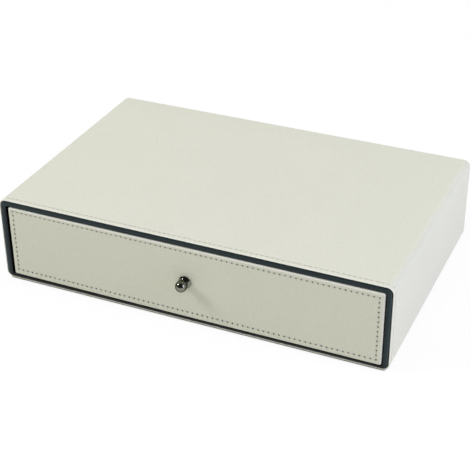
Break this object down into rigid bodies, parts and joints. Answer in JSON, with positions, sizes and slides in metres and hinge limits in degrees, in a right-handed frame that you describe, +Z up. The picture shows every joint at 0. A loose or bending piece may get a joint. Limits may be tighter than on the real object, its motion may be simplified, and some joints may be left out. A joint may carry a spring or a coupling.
{
  "type": "makeup organizer",
  "caption": "Low leatherette covered box with a dark front rim and a full width pull-out drawer with a stitched front and a small ball knob.",
  "frame": {"origin": "centre of the base, on the surface that the box stands on", "axes": "+X to the box's right seen from the front, -Y towards the drawer's front, +Z up"},
  "size_m": [0.31, 0.2118, 0.069],
  "materials": {
    "cream_leatherette": "fine grain, semi matt",
    "navy_leatherette": "smooth, satin",
    "navy_suede": "short nap",
    "fibreboard": "raw medium density fibreboard",
    "grey_card": "uncoated",
    "base_felt": "pressed felt",
    "black_nickel": "polished black nickel plate",
    "zinc_steel": "zinc plated"
  },
  "bodies": {
    "case": {"case_top_board": "fibreboard", "case_bottom_board": "fibreboard", "case_left_board": "fibreboard", "case_right_board": "fibreboard", "case_back_board": "fibreboard", "case_cover": "cream_leatherette", "case_back_cover": "cream_leatherette", "back_card": "grey_card", "front_edge_binding": "navy_leatherette", "case_lining": "navy_suede", "case_back_lining": "navy_suede", "base_felt": "base_felt"},
    "drawer": {"drawer_front_board": "fibreboard", "drawer_left_board": "fibreboard", "drawer_right_board": "fibreboard", "drawer_back_board": "fibreboard", "drawer_bottom_board": "fibreboard", "drawer_front_cover": "cream_leatherette", "drawer_wrap": "navy_leatherette", "drawer_base_lining": "navy_suede", "drawer_wall_lining": "navy_suede", "drawer_floor_pad": "navy_suede", "knob_ball": "black_nickel", "knob_base": "black_nickel", "knob_washer": "zinc_steel", "knob_screw": "zinc_steel"}
  },
  "joints": [
    {"name": "drawer_slide", "type": "slide", "parent": "case", "child": "drawer", "axis": [0, -1, 0], "range_m": [0, 0.15]}
  ]
}
